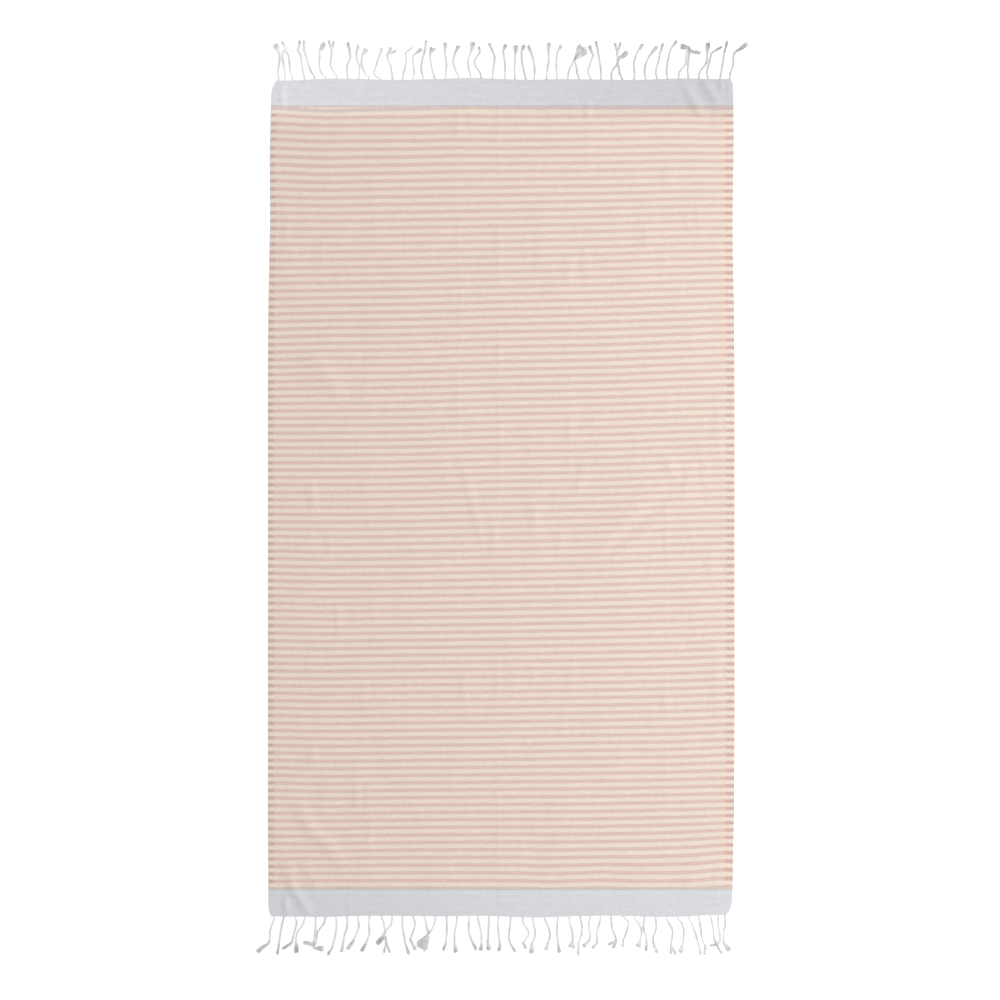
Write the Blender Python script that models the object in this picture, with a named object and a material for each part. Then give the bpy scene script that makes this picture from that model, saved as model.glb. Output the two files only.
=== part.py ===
"""A hammam towel laid out flat: one woven cloth, and a fringe of twisted strands at each end.

Metres, +Z up. The towel lies on z = 0 with its middle at the origin and its length along Y.
The tables are in whole millimetres, and MM turns them into metres.
"""

import math
from typing import NamedTuple

import bmesh
import bpy
from mathutils import Vector

MM = 0.001

# Driving dimensions of the towel
HALF_WIDTH = 0.500
HALF_LENGTH = 0.898
THICKNESS = 0.0012

# The narrow strip of cloth at each end that the strands grow out of
STRIP_DEPTH = 0.006
PARTING_GAP = 0.0003

# A strand: its section where it leaves the cloth, along the cord, and in the loose tuft at its end
ROOT_WIDTH = 0.0046
CORD_WIDTH = 0.0034
CORD_HEIGHT = 0.0028
TUFT_HEIGHT = 0.0018

# The rings of a strand: how many from root to knee and from knee to neck, then one for each row of the tuft
CORD_STEPS = (2, 3)


class TuftRing(NamedTuple):
    """A ring of the tuft: its place along it, its share of the tuft's full width and of a crossing's lift."""

    along: float
    spread: float
    lifted: float


TUFT_RINGS = (
    TuftRing(along=0.30, spread=0.72, lifted=1.0),
    TuftRing(along=0.80, spread=1.00, lifted=0.9),
    TuftRing(along=1.00, spread=0.84, lifted=0.0),
)
FORK_RINGS = (0.45, 1.0)

# How high a strand that crosses its neighbour lies over it, and how soon after its knee it is up there
LIFT_OVER = 0.0034
LIFT_PACE = 1.5

# The grid of the cloth, coarse where it lies flat and finer over the creases
COARSE_CELL = 0.040
FINE_CUTS = 2
END_ROWS = (0.016, 0.032)
CREASE_MARGIN = 0.015
CREASE_FADE = 0.35

# The pressed fold that runs down the middle of the cloth
FOLD_HALF_BASE = 0.010
FOLD_HEIGHT = 0.0010
FOLD_FADE = 0.060


class Corner(NamedTuple):
    """How the outline draws in near a corner: at the corner itself, how soon that eases, and the taper beside it."""

    pull: float
    reach: float
    taper: float


TIGHT_CORNER = Corner(pull=0.013, reach=0.014, taper=0.0045)
EASY_CORNER = Corner(pull=0.007, reach=0.009, taper=0.0010)
TAPER_REACH = 0.250

STRIPED_PINK = (0.80, 0.62, 0.52)
PALE_GREY = (0.70, 0.70, 0.74)
COTTON_ROUGHNESS = 0.9
SHARP_ANGLE = math.radians(40)


class Crease(NamedTuple):
    """A soft ridge in the cloth, in millimetres: its two ends, half its base, its height and its sideways bow."""

    start: tuple
    end: tuple
    half_base: float
    height: float
    bow: float = 0


CREASES = (
    Crease(start=(-440, 300), end=(-352, 200), half_base=34, height=3.0, bow=10),
    Crease(start=(-470, -600), end=(-300, -815), half_base=38, height=3.6, bow=8),
    Crease(start=(-470, -760), end=(-372, -880), half_base=28, height=3.2),
    Crease(start=(-104, 112), end=(-32, -118), half_base=30, height=2.6, bow=-10),
    Crease(start=(350, 0), end=(238, -142), half_base=34, height=2.6, bow=6),
    Crease(start=(-436, 60), end=(-400, -125), half_base=30, height=2.4, bow=8),
    Crease(start=(-365, -205), end=(-345, -300), half_base=26, height=2.2),
    Crease(start=(-430, -505), end=(-378, -592), half_base=28, height=2.8),
    Crease(start=(322, 104), end=(396, 6), half_base=30, height=2.4, bow=-8),
    Crease(start=(395, 885), end=(452, 800), half_base=26, height=2.8),
    Crease(start=(-395, 556), end=(-385, 478), half_base=24, height=2.0),
    Crease(start=(142, 540), end=(150, 430), half_base=24, height=2.0),
)


class Strand(NamedTuple):
    """One strand of the fringe, in millimetres.

    root is its place along the cloth's end, from the middle. knee, neck and tip are points of its line, each
    (sideways from the root, outwards from the end), and the loose tuft runs from the neck to the tip. tuft is
    the tuft's width, fork is a second tip, and over says that it lies on top of its neighbour at the neck.
    """

    root: float
    knee: tuple
    neck: tuple
    tip: tuple
    tuft: float
    fork: tuple = None
    over: bool = False


STRANDS = (
    Strand(root=-478, knee=(-1, 18), neck=(2, 56), tip=(-9, 77), tuft=12),
    Strand(root=-464, knee=(-5, 46), neck=(2, 63), tip=(24, 66), tuft=6, over=True),
    Strand(root=-447, knee=(-6, 33), neck=(-12, 60), tip=(-24, 82), tuft=6),
    Strand(root=-422, knee=(-5, 33), neck=(-14, 65), tip=(-12, 83), tuft=6),
    Strand(root=-400, knee=(-14, 33), neck=(-23, 60), tip=(-25, 82), tuft=5),
    Strand(root=-376, knee=(-13, 24), neck=(-13, 56), tip=(-6, 77), tuft=9),
    Strand(root=-352, knee=(-14, 28), neck=(-12, 60), tip=(-9, 80), tuft=5, fork=(-20, 81)),
    Strand(root=-329, knee=(-1, 28), neck=(5, 54), tip=(-2, 77), tuft=6),
    Strand(root=-306, knee=(2, 24), neck=(-5, 50), tip=(-2, 73), tuft=6),
    Strand(root=-283, knee=(-17, 33), neck=(-15, 50), tip=(-8, 66), tuft=12),
    Strand(root=-258, knee=(-14, 13), neck=(-3, 54), tip=(0, 67), tuft=5),
    Strand(root=-234, knee=(-3, 28), neck=(-11, 52), tip=(-4, 69), tuft=6, fork=(6, 62)),
    Strand(root=-212, knee=(8, 37), neck=(7, 58), tip=(19, 69), tuft=5),
    Strand(root=-190, knee=(3, 18), neck=(1, 50), tip=(16, 66), tuft=9),
    Strand(root=-167, knee=(-5, 28), neck=(2, 58), tip=(4, 83), tuft=6),
    Strand(root=-144, knee=(-5, 26), neck=(-8, 52), tip=(-4, 67), tuft=15),
    Strand(root=-120, knee=(2, 33), neck=(-1, 60), tip=(-2, 77), tuft=7),
    Strand(root=-91, knee=(-11, 33), neck=(-9, 54), tip=(-2, 70), tuft=7),
    Strand(root=-66, knee=(-6, 35), neck=(1, 56), tip=(4, 77), tuft=11),
    Strand(root=-44, knee=(-14, 37), neck=(-2, 54), tip=(-6, 67), tuft=6),
    Strand(root=-19, knee=(4, 41), neck=(-2, 63), tip=(-9, 76), tuft=5),
    Strand(root=7, knee=(1, 26), neck=(-3, 58), tip=(1, 74), tuft=8),
    Strand(root=28, knee=(0, 24), neck=(2, 54), tip=(1, 73), tuft=10),
    Strand(root=52, knee=(-7, 33), neck=(-9, 58), tip=(-5, 74), tuft=7),
    Strand(root=70, knee=(1, 33), neck=(-5, 54), tip=(-14, 73), tuft=6),
    Strand(root=96, knee=(4, 35), neck=(5, 60), tip=(4, 78), tuft=9),
    Strand(root=119, knee=(-1, 37), neck=(1, 58), tip=(8, 73), tuft=6),
    Strand(root=142, knee=(3, 18), neck=(16, 40), tip=(42, 59), tuft=12, over=True),
    Strand(root=166, knee=(-5, 22), neck=(-9, 39), tip=(1, 74), tuft=10),
    Strand(root=191, knee=(-5, 20), neck=(5, 51), tip=(-4, 73), tuft=7),
    Strand(root=213, knee=(-1, 30), neck=(-6, 58), tip=(-12, 82), tuft=6),
    Strand(root=235, knee=(2, 18), neck=(17, 42), tip=(34, 60), tuft=11, over=True),
    Strand(root=259, knee=(-6, 20), neck=(-11, 56), tip=(-5, 79), tuft=5, fork=(-17, 78)),
    Strand(root=284, knee=(1, 30), neck=(8, 59), tip=(18, 76), tuft=7),
    Strand(root=309, knee=(-2, 24), neck=(8, 50), tip=(23, 71), tuft=7),
    Strand(root=333, knee=(-1, 22), neck=(7, 56), tip=(12, 76), tuft=6),
    Strand(root=356, knee=(-2, 22), neck=(6, 63), tip=(18, 82), tuft=6),
    Strand(root=379, knee=(14, 30), neck=(21, 58), tip=(47, 56), tuft=7, over=True),
    Strand(root=400, knee=(0, 28), neck=(4, 66), tip=(-17, 69), tuft=8),
    Strand(root=422, knee=(11, 26), neck=(19, 54), tip=(20, 77), tuft=10),
    Strand(root=443, knee=(-1, 24), neck=(6, 54), tip=(26, 69), tuft=6),
    Strand(root=468, knee=(5, 33), neck=(10, 60), tip=(15, 80), tuft=6),
    Strand(root=489, knee=(6, 30), neck=(9, 53), tip=(35, 75), tuft=9),
)


def clear_scene():
    for item in list(bpy.data.objects):
        bpy.data.objects.remove(item)


def cotton(name, colour):
    """Matt cotton of one colour."""
    material = bpy.data.materials.new(name)
    material.use_nodes = True
    shader = material.node_tree.nodes["Principled BSDF"]
    shader.inputs["Base Color"].default_value = (*colour, 1)
    shader.inputs["Roughness"].default_value = COTTON_ROUGHNESS
    shader.inputs["Metallic"].default_value = 0
    return material


def smooth_step(t):
    t = min(1, max(0, t))
    return t * t * (3 - 2 * t)


def edge_x(side, y):
    """The outline's x at y on one side, -1 left or 1 right. Two opposite corners draw in more than the others."""
    corner = TIGHT_CORNER if side * y < 0 else EASY_CORNER
    from_end = HALF_LENGTH - abs(y)
    slow = corner.taper * (1 - smooth_step(from_end / TAPER_REACH))
    return side * (HALF_WIDTH - slow - corner.pull * math.exp(-from_end / corner.reach))


def ridge(crease, x, y):
    """The height of one crease at a point, zero past its ends and its foot."""
    start, end = Vector(crease.start) * MM, Vector(crease.end) * MM
    along = end - start
    away = Vector((x, y)) - start
    share = away.dot(along) / along.length_squared
    if not 0 < share < 1:
        return 0
    bow = crease.bow * MM * math.sin(math.pi * share)
    aside = (along.x * away.y - along.y * away.x) / along.length - bow
    across = abs(aside) / (crease.half_base * MM)
    if across > 1:
        return 0
    fade = smooth_step(share / CREASE_FADE) * smooth_step((1 - share) / CREASE_FADE)
    return crease.height * MM * fade * (1 + math.cos(math.pi * across)) / 2


def middle_fold(x, y):
    """The height of the pressed fold, which dies out before the cloth's ends."""
    from_end = last_row() - abs(y)
    return FOLD_HEIGHT * max(0, 1 - abs(x) / FOLD_HALF_BASE) * smooth_step(from_end / FOLD_FADE)


def relief(x, y):
    """How far the cloth stands off the surface at a point."""
    return max(middle_fold(x, y), *(ridge(crease, x, y) for crease in CREASES))


def near_crease(point):
    """Whether a point is close enough to a crease to need the finer grid."""
    for crease in CREASES:
        start, end = Vector(crease.start) * MM, Vector(crease.end) * MM
        along = end - start
        share = min(1, max(0, (point - start).dot(along) / along.length_squared))
        reach = (crease.half_base + abs(crease.bow)) * MM + CREASE_MARGIN
        if (point - start - share * along).length < reach:
            return True
    return False


def last_row():
    """Where the cloth's own solid ends, just short of the strip that the strands grow out of."""
    return HALF_LENGTH - STRIP_DEPTH - PARTING_GAP


def grid_rows():
    """The y of each row of the cloth's grid, closer together beside the ends."""
    inner = HALF_LENGTH - END_ROWS[-1] - COARSE_CELL / 2
    count = round(2 * inner / COARSE_CELL)
    rows = [-inner + 2 * inner * i / count for i in range(count + 1)]
    ends = [HALF_LENGTH - away for away in END_ROWS] + [last_row()]
    return sorted([-y for y in ends] + rows + ends)


def grid_columns():
    """The columns of the cloth's grid as shares of its width, with one each side of the middle fold's crest."""
    count = 2 * round(HALF_WIDTH / COARSE_CELL)
    foot = FOLD_HALF_BASE / (2 * HALF_WIDTH)
    return sorted([i / count for i in range(count + 1)] + [0.5 - foot, 0.5 + foot])


def cloth_mesh():
    """The underside of the cloth as a grid, finer and raised over the creases."""
    mesh = bmesh.new()
    columns = grid_columns()
    rows = []
    for y in grid_rows():
        left, right = edge_x(-1, y), edge_x(1, y)
        rows.append([mesh.verts.new((left + (right - left) * share, y, 0)) for share in columns])
    for lower, upper in zip(rows, rows[1:]):
        for i in range(len(columns) - 1):
            mesh.faces.new((lower[i], lower[i + 1], upper[i + 1], upper[i]))
    creased = [face for face in mesh.faces if near_crease(face.calc_center_median().xy)]
    edges = {edge for face in creased for edge in face.edges}
    bmesh.ops.subdivide_edges(mesh, edges=list(edges), cuts=FINE_CUTS, use_grid_fill=True)
    for vert in mesh.verts:
        vert.co.z = relief(vert.co.x, vert.co.y)
    return mesh


def add_object(name, mesh, material):
    data = bpy.data.meshes.new(name)
    mesh.to_mesh(data)
    mesh.free()
    data.materials.append(material)
    data.shade_smooth()
    data.set_sharp_from_angle(angle=SHARP_ANGLE)
    item = bpy.data.objects.new(name, data)
    bpy.context.scene.collection.objects.link(item)
    return item


def make_cloth(material):
    cloth = add_object("cloth", cloth_mesh(), material)
    thicken = cloth.modifiers.new("thickness", "SOLIDIFY")
    thicken.thickness = THICKNESS
    thicken.offset = 1


def curve_point(points, span, t):
    """A point of the smooth curve through the points, a share t of the way along one span, and its direction."""
    before, start = points[max(span - 1, 0)], points[span]
    end, after = points[span + 1], points[min(span + 2, len(points) - 1)]
    chord = (end - start).length
    leave = (end - before).normalized() * chord
    arrive = (after - start).normalized() * chord
    if span == 0:
        leave = Vector((0, chord))
    place = (
        start * (2 * t**3 - 3 * t**2 + 1)
        + leave * (t**3 - 2 * t**2 + t)
        + end * (3 * t**2 - 2 * t**3)
        + arrive * (t**3 - t**2)
    )
    heading = (
        start * (6 * t**2 - 6 * t)
        + leave * (3 * t**2 - 4 * t + 1)
        + end * (6 * t - 6 * t**2)
        + arrive * (3 * t**2 - 2 * t)
    )
    return place, heading.normalized()


def strand_rings(strand):
    """The rings of a strand after its root: (middle, direction, width, height, lift off the surface)."""
    points = [Vector((0, 0)), Vector(strand.knee), Vector(strand.neck), Vector(strand.tip)]
    points = [Vector((strand.root * MM, HALF_LENGTH)) + point * MM for point in points]
    lift = LIFT_OVER if strand.over else 0
    rings = []
    for span, steps in enumerate(CORD_STEPS):
        for step in range(1, steps + 1):
            rise = lift * smooth_step(LIFT_PACE * step / steps) if span == 1 else 0
            rings.append((*curve_point(points, span, step / steps), CORD_WIDTH, CORD_HEIGHT, rise))
    for along, spread, lifted in TUFT_RINGS:
        width = CORD_WIDTH + (strand.tuft * MM - CORD_WIDTH) * spread
        height = CORD_HEIGHT + (TUFT_HEIGHT - CORD_HEIGHT) * along
        rings.append((*curve_point(points, 2, along), width, height, lift * lifted))
    return rings


def place_ring(face, corners, middle, direction, width, height, lift):
    """Moves a face's four points to a ring's corners, each (side, whether it is on top)."""
    aside = Vector((direction.y, -direction.x)) * width / 2
    for vert, (side, top) in zip(face.verts, corners):
        spot = middle + aside * side
        vert.co = (spot.x, spot.y, lift + height * top)


def grow_strand(mesh, root, strand):
    """Extrudes one strand from its root face on the strip, ring by ring."""
    centre = root.calc_center_median()
    corners = [(1 if v.co.x > centre.x else -1, v.co.z > centre.z) for v in root.verts]
    face = root
    first_of_tuft = sum(CORD_STEPS)
    for index, ring in enumerate(strand_rings(strand)):
        face = bmesh.ops.extrude_discrete_faces(mesh, faces=[face])["faces"][0]
        place_ring(face, corners, *ring)
        if index == first_of_tuft and strand.fork:
            grow_fork(mesh, face, strand, ring)


def grow_fork(mesh, face, strand, ring):
    """Extrudes the second tip of a forked tuft from the side of its first stretch, on the side it leans to."""
    middle, heading = ring[:2]
    tip = Vector((strand.root + strand.fork[0], strand.fork[1])) * MM + Vector((0, HALF_LENGTH))
    right = Vector((heading.y, -heading.x))
    turn = 1 if (tip - middle).dot(right) > 0 else -1
    mesh.normal_update()
    walls = {wall for edge in face.edges for wall in edge.link_faces if wall is not face}
    root = max(walls, key=lambda wall: turn * wall.normal.xy.dot(right))
    start = root.calc_center_median()
    corners = []
    for vert in root.verts:
        away = vert.co - start
        corners.append((-turn if away.xy.dot(heading) > 0 else turn, away.z > 0))
    for along in FORK_RINGS:
        root = bmesh.ops.extrude_discrete_faces(mesh, faces=[root])["faces"][0]
        spot = start.xy.lerp(tip, along)
        place_ring(root, corners, spot, (tip - start.xy).normalized(), strand.tuft * MM, TUFT_HEIGHT, 0)


def fringe_mesh():
    """The strip along the upper end of the cloth with its strands, in one closed mesh."""
    mesh = bmesh.new()
    outer = [edge_x(-1, HALF_LENGTH)]
    for strand in STRANDS:
        outer += [strand.root * MM - ROOT_WIDTH / 2, strand.root * MM + ROOT_WIDTH / 2]
    outer.append(edge_x(1, HALF_LENGTH))
    inner_y = HALF_LENGTH - STRIP_DEPTH
    plan = [(x, HALF_LENGTH) for x in reversed(outer)]
    plan += [(edge_x(-1, inner_y), inner_y), (edge_x(1, inner_y), inner_y)]
    base = mesh.faces.new([mesh.verts.new((x, y, 0)) for x, y in plan])
    raised = bmesh.ops.extrude_face_region(mesh, geom=[base])["geom"]
    for vert in (part for part in raised if isinstance(part, bmesh.types.BMVert)):
        vert.co.z = THICKNESS
    bmesh.ops.recalc_face_normals(mesh, faces=mesh.faces)
    for strand in STRANDS:
        root_at = Vector((strand.root * MM, HALF_LENGTH, THICKNESS / 2))
        root = min(mesh.faces, key=lambda face: (face.calc_center_median() - root_at).length)
        grow_strand(mesh, root, strand)
    return mesh


def make_fringes(material):
    """The two fringes are alike, and the lower one is the upper one turned half way round."""
    upper = add_object("fringe_upper", fringe_mesh(), material)
    lower = bpy.data.objects.new("fringe_lower", upper.data)
    bpy.context.scene.collection.objects.link(lower)
    lower.rotation_euler.z = math.pi


def main():
    clear_scene()
    make_cloth(cotton("striped_cotton", STRIPED_PINK))
    make_fringes(cotton("undyed_cotton", PALE_GREY))


main()
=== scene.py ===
"""The looks of a hammam towel that lies flat on a pale floor, seen from straight above.

Metres, +Z up, +Y towards the towel's upper end. The tables of folds, weft and strands are in millimetres,
and MM turns them into metres.
"""

import math
import random
from typing import NamedTuple

import bpy
import numpy as np
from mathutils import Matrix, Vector, noise


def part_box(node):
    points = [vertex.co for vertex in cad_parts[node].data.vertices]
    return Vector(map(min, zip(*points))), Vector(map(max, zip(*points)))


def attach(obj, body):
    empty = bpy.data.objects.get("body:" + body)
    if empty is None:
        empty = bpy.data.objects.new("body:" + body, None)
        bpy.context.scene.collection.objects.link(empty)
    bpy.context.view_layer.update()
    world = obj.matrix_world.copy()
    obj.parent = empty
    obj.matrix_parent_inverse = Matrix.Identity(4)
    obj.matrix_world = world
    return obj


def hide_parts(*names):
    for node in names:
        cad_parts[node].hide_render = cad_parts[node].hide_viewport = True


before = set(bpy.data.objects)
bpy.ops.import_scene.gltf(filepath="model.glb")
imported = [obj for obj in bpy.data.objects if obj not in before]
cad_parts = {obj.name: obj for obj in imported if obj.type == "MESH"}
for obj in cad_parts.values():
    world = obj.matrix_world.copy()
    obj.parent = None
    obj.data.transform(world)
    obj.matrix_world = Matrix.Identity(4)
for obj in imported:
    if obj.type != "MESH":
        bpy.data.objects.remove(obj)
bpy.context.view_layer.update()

MM = 0.001

# The cloth, from its solid. The solid leaves out a narrow strip at each end, which the woven sheet covers.
END_STRIP = 0.0063
CLOTH_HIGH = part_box("cloth")[1]
HALF_WIDTH = CLOTH_HIGH[0]
HALF_LENGTH = CLOTH_HIGH[1] + END_STRIP
THICKNESS = 0.0011
CELLS_ACROSS = 200
CELLS_ALONG = 224
SHARP_RIM = math.radians(50)

# The cloth eases down to the floor near its rim: how far in, and where on the easing's curve the edge is
RIM_REST = 20 * MM
AT_RIM = 0.15

# The weave, and the stripes: 104 pink ones between the plain end bands
PICK = 0.80 * MM
END_PITCH = 0.72 * MM
FIRST_STRIPE = 837 * MM
STRIPE_PITCH = 16.252 * MM
PINK_SHARE = 0.47
STRIPE_BLUR = 0.03
STRIPE_WANDER = 0.8 * MM
WANDER_SCALE = 14.0
DULL_DEPTH = 5 * MM
LEFT_SELVEDGE = 11 * MM
RIGHT_SELVEDGE = 18 * MM
SELVEDGE_BLUR = 3 * MM

# The end bands begin at BAND_EDGE, after a dull pink hem line, and have a bluish and a rose line past it
BAND_EDGE = 840.3 * MM
BAND_BLUR = 0.6 * MM
HEM_DEPTH = 4.2 * MM
HEM_BLUR = 0.8 * MM
HEM_SHARE = 0.85
BLUISH_PAST = 5.5 * MM
BLUISH_REACH = 4.0 * MM
ROSE_PAST = 13 * MM
ROSE_REACH = 3.5 * MM
LINE_CORE = 1.0 * MM
BAND_LINE_PITCH = 17.2 * MM
BAND_LINE_TONE = 0.010
# The dark seam line where the end band begins: a stitch line with painted shadow under the hem's edge
SEAM_SHADOW_CORE = 0.4 * MM
SEAM_SHADOW_REACH = 2.2 * MM

# The lower end is the upper end turned half way round about this place
END_CENTRE = (1.9 * MM, 0.7 * MM)
END_REACH = 35 * MM

# The twisted cord of a strand
PLY_RADIUS = 0.95 * MM
PLY_OFFSET = 0.80 * MM
PLY_SIDES = 6
CORD_HEIGHT = PLY_RADIUS + PLY_OFFSET
CORD_MODEL_LENGTH = 60 * MM
TWISTS = 9
STEPS_A_TWIST = 8
CURVE_STEPS = 12
CROSSING_LIFT = 3.4 * MM

# All strands stand this far to the right of the roots in their table, in mm
STRAND_ASIDE = 1.6

# A cord's first two points, in mm out from the edge, each at most at a share of the way to the third point
ROOT_OUT = 1.2
ROOT_OUT_SHARE = 0.1
NEAR_ROOT_OUT = 5.0
NEAR_ROOT_OUT_SHARE = 0.45
NEAR_ROOT_ASIDE_SHARE = 0.2

# How thick a cord is at those two points, as shares of its full girth
ROOT_SHARE = 0.22
NEAR_ROOT_SHARE = 0.60

# The knot: two wraps, each with its shift along the cord and its lean
KNOT_RADIUS = 1.35 * MM
KNOT_STRAND = 0.85 * MM
KNOT_WRAPS = ((-0.75 * MM, 0.35), (0.75 * MM, -0.35))
KNOT_STEPS = 14
KNOT_SIDES = 6

# The loose yarns of a tuft: their count, their lengths as shares of its length, and how many lie under each
THREAD_RADIUS = 0.36 * MM
YARN_SEED = 12
FEWEST_YARNS = 11
YARNS_A_MM = 1.5
YARN_LENGTHS = (0.86, 1.13)
SIDE_YARNS_SHORTER = 0.10
YARN_LEVELS = (0, 0, 1, 1)

# The points along a yarn as shares of its length, how thick it is there, and how it strays from its line
YARN_PLACES = (0, 0.18, 0.45, 0.75, 1.0)
YARN_GIRTHS = (1.2, 1.1, 1.05, 1.0, 0.7)
YARN_SWING = 0.88 * MM
SWING_TURN = 3.1
YARN_JITTER = 0.3 * MM

# A yarn turns from the cord's heading to the tip at this pace, and at this share of its length it lies flat
TURN_PACE = 2.2
SETTLED_AT = 0.8

# The tuft's width at its knot, as a share. One up to WIDEST_CLUB mm wide is a club, which opens sooner.
AT_KNOT = 0.13
WIDEST_CLUB = 11
CLUB_OPENING = 0.7

# The warp ends that gather into a cord's root. They end on the cord, up to GATHER_LAST of the way to its
# third point, and are tucked into it. ON_CORD and the tuck's places are shares of the cord's radius.
GATHER_YARNS = 10
GATHER_HALF_WIDTH = 3.3 * MM
GATHER_START = (-1.5 * MM, THICKNESS / 2)
GATHER_ARCH = 0.6 * MM
GATHER_LENGTHS = (0.5 * MM, 4.0 * MM)
GATHER_LAST = 0.8
GATHER_GIRTHS = (1.0, 1.1, 1.0, 0.6)
ON_CORD = 0.85
TUCK_LENGTH = 0.12
TUCK_ASIDE = 0.6
TUCK_UP = 0.55
CORNER_ROOT = 489 * MM
CORNER_SQUEEZE = 0.85

# Which of a fringe's two materials a yarn has
TUFT_COTTON = 0
CORD_COTTON = 1

# Points of a yarn that lie this close are one
WELD = 0.0002 * MM

# The photograph's frame on the floor, the camera over it, and the studio
VIEW_WIDTH = 2.145
VIEW_CENTRE = (-0.0032, -0.0043)
LENS = 85
SENSOR = 36
FAR_CLIP = 50
FLOOR_SIZE = 16
FLOOR_SINK = 0.2 * MM
SKY_STRENGTH = 0.79
KEY_PLACE = (4.2, 0.4, 3.6)
KEY_SIZE = 2.2
KEY_POWER = 232


class Corner(NamedTuple):
    """How the outline draws in near a corner, in metres.

    pull is at the corner itself, reach is how soon that eases, and taper is the slow narrowing beside it.
    """

    pull: float
    reach: float
    taper: float


TIGHT_CORNER = Corner(pull=0.013, reach=0.014, taper=0.0045)
EASY_CORNER = Corner(pull=0.007, reach=0.009, taper=0.0010)
TAPER_REACH = 0.250


class Waist(NamedTuple):
    """A place where one side of the outline draws in a little, in mm."""

    side: int
    at: float
    pull: float
    reach: float


WAISTS = (
    Waist(side=-1, at=845, pull=2.0, reach=60),
    Waist(side=-1, at=625, pull=4.9, reach=165),
    Waist(side=1, at=850, pull=1.2, reach=60),
    Waist(side=1, at=580, pull=4.0, reach=170),
    Waist(side=1, at=-700, pull=1.0, reach=120),
)


class WeftLine(NamedTuple):
    """How far one thread of the weft is shifted up the cloth, in mm, at WEFT_PLACES across it."""

    at: float
    left: float
    outer_left: float
    inner_left: float
    middle: float
    inner_right: float
    outer_right: float
    right: float


WEFT_PLACES = (-483, -385, -255, 0, 255, 384, 483)
WEFT_LINES = (
    WeftLine(-898, -3, -2, -2, 0, 1, 1, 2),
    WeftLine(-840, 0, 0, 0, 0, -1, -1, 1),
    WeftLine(-754, -2, -2, 0, 2, 3, 6, 11),
    WeftLine(-658, -1, -3, -1, 1, 3, 6, 8),
    WeftLine(-559, -2, -4, -3, 0, 4, 6, 10),
    WeftLine(-366, -5, -6, -4, -1, 3, 6, 10),
    WeftLine(-173, -7, -9, -8, -4, 2, 6, 9),
    WeftLine(20, -12, -12, -11, -5, 0, 5, 8),
    WeftLine(211, -17, -16, -15, -8, -2, 3, 6),
    WeftLine(308, -20, -17, -16, -9, -3, 2, 6),
    WeftLine(455, -20, -18, -16, -10, -4, 1, 4),
    WeftLine(602, -15, -16, -14, -10, -4, 0, 1),
    WeftLine(702, -10, -13, -11, -7, -4, -1, 0),
    WeftLine(801, -1, -5, -5, -4, -1, 1, 1),
    WeftLine(841, -1, -6, -4, -2, -1, 0, 0),
    WeftLine(860, -3, -1, -1, 0, 1, 1, 1),
    WeftLine(898, -3, 0, 0, 0, 2, 3, 3),
)


class WeftPush(NamedTuple):
    """A place where the weft was pushed along the cloth, in mm."""

    across: float
    along: float
    shift: float
    reach_across: float
    reach_along: float


WEFT_PUSHES = (
    WeftPush(across=97, along=-790, shift=-2.0, reach_across=50, reach_along=60),
    WeftPush(across=215, along=-818, shift=2.0, reach_across=40, reach_along=40),
    WeftPush(across=475, along=-805, shift=2.8, reach_across=45, reach_along=50),
    WeftPush(across=-100, along=775, shift=2.0, reach_across=60, reach_along=80),
    WeftPush(across=455, along=775, shift=-1.8, reach_across=50, reach_along=70),
    WeftPush(across=-430, along=785, shift=-1.2, reach_across=70, reach_along=50),
    WeftPush(across=-485, along=-810, shift=-1.5, reach_across=30, reach_along=40),
    WeftPush(across=-330, along=821, shift=1.8, reach_across=190, reach_along=9),
    WeftPush(across=0, along=839, shift=2.8, reach_across=210, reach_along=11),
)


class EndPlace(NamedTuple):
    """How far the upper end's edge lies out of the straight at one place across it, in mm."""

    across: float
    out: float


END_PLACES = (
    EndPlace(-505, -3.0),
    EndPlace(-451, -2.2),
    EndPlace(-387, 1.3),
    EndPlace(-323, 1.2),
    EndPlace(-258, -0.7),
    EndPlace(-194, -0.7),
    EndPlace(-130, 1.1),
    EndPlace(-65, 2.9),
    EndPlace(0, 0.6),
    EndPlace(63, -1.0),
    EndPlace(128, 0.5),
    EndPlace(192, -0.2),
    EndPlace(256, -0.8),
    EndPlace(321, -0.5),
    EndPlace(385, 2.0),
    EndPlace(449, 0.9),
    EndPlace(505, 0.5),
)


class Crease(NamedTuple):
    """A soft ridge in the cloth, in mm: its crest's points, its height and its reach to each side.

    A trough has a negative height.
    """

    line: tuple
    height: float
    reach: float


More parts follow.
